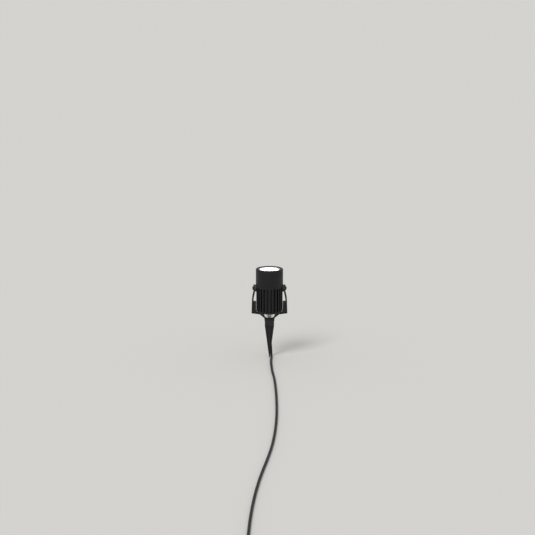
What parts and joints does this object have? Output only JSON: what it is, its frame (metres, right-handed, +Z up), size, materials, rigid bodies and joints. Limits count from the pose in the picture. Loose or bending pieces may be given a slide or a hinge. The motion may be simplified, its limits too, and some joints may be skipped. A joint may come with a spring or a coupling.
{
  "type": "garden spike spotlight",
  "caption": "Black cylindrical spotlight that tilts in a fork on a ground spike, with a finned body, a flush round glass, a rear cable gland and a long rubber cord with an earthed plug.",
  "frame": {"origin": "tip of the ground spike", "axes": "+Z up along the spike and the upright head, +X along the tilt axis to the right seen from the front, -Y towards the front, where the cord runs"},
  "size_m": [0.1135, 1.696, 0.234],
  "materials": {
    "black_powder_coat": "die-cast aluminium with a fine satin black powder coat",
    "black_nylon": "moulded glass-filled nylon, fine satin grain",
    "front_glass": "clear toughened glass, polished faces and ground edge",
    "clear_acrylic": "clear moulded acrylic lens",
    "holder_plastic": "moulded black polycarbonate",
    "led_phosphor": "light source with a yellow phosphor face on a white base",
    "aluminium_board": "aluminium-cored circuit board with a white mask",
    "thermal_pad": "grey silicone heat pad",
    "silicone_seal": "moulded silicone",
    "stainless_steel": "turned stainless steel",
    "black_steel": "blackened steel screw",
    "nickel_plate": "nickel-plated brass",
    "brass": "turned brass",
    "circuit_board": "green glass-fibre circuit board",
    "transformer": "ferrite core with yellow tape",
    "capacitor_sleeve": "aluminium can in a dark shrink sleeve",
    "terminal_plastic": "pale moulded polyamide",
    "wire_insulation": "coloured silicone insulation",
    "cord_rubber": "black rubber sheath, matt",
    "plug_rubber": "moulded black rubber",
    "tie_fabric": "black hook-and-loop tape",
    "washer_plastic": "natural acetal friction washer"
  },
  "bodies": {
    "stand": {"fork": "black_nylon", "spike": "black_nylon", "spike_insert": "brass", "spike_bolt": "black_steel", "cord_drop": "cord_rubber", "cord_floor": "cord_rubber", "cord_coil": "cord_rubber", "cord_tail": "cord_rubber", "coil_tie": "tie_fabric", "plug_relief": "plug_rubber", "plug_body": "plug_rubber", "plug_pins": "nickel_plate", "plug_earth_clips": "nickel_plate"},
    "head": {"front_collar": "black_powder_coat", "front_glass": "front_glass", "glass_seal": "silicone_seal", "lens_optic": "clear_acrylic", "optic_holder": "holder_plastic", "led_chip": "led_phosphor", "led_board": "aluminium_board", "thermal_pad": "thermal_pad", "board_screws": "stainless_steel", "heat_sink_body": "black_powder_coat", "collar_seal": "silicone_seal", "driver_board": "circuit_board", "driver_transformer": "transformer", "driver_capacitor": "capacitor_sleeve", "terminal_block": "terminal_plastic", "led_leads": "wire_insulation", "mains_cores": "wire_insulation", "bottom_cap": "black_powder_coat", "cap_seal": "silicone_seal", "cap_screws": "stainless_steel", "gland_body": "nickel_plate", "gland_nut": "nickel_plate", "gland_seal": "silicone_seal", "inner_cord_end": "cord_rubber", "pivot_screw_right": "black_steel", "pivot_screw_left": "black_steel", "pivot_washer_right": "washer_plastic", "pivot_washer_left": "washer_plastic"}
  },
  "joints": [
    {"name": "head_tilt", "type": "hinge", "parent": "stand", "child": "head", "pos_m": [0, 0, 0.183], "axis": [1, 0, 0], "range_deg": [0, 90], "deforming": ["cord_drop"]}
  ]
}
